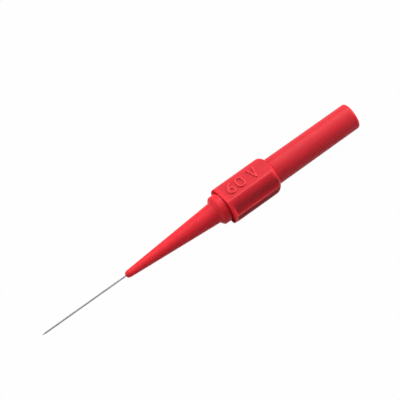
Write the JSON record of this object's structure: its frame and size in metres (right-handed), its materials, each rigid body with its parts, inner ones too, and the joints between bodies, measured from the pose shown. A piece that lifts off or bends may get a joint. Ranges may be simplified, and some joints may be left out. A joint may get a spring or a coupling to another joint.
{
  "type": "test probe",
  "caption": "Needle test probe: a fine steel needle in a soft red cone, a fluted flat-sided grip collar and an insulated rear sleeve with a 4 mm socket for a test lead.",
  "frame": {"origin": "on the probe's axis, where the wall of the 4 mm socket bore starts, just inside the tube's lead-in", "axes": "+X along the axis, out of the socket's mouth and away from the needle; +Z out of the flat that carries the raised characters; +Y across the grip"},
  "size_m": [0.1136, 0.0122, 0.0096],
  "materials": {
    "needle_steel": "ground stainless steel wire",
    "solder": "bright solder",
    "core_brass": "turned brass",
    "nickel_plating": "nickel-plated brass, satin",
    "cone_red": "soft moulded vinyl, satin",
    "grip_red": "soft moulded vinyl, satin",
    "sleeve_red": "soft moulded vinyl, satin"
  },
  "bodies": {
    "root": {"needle": "needle_steel", "needle_solder": "solder", "needle_holder": "core_brass", "socket_tube": "nickel_plating", "nose_cone": "cone_red", "grip_collar": "grip_red", "rear_sleeve": "sleeve_red"}
  },
  "joints": []
}
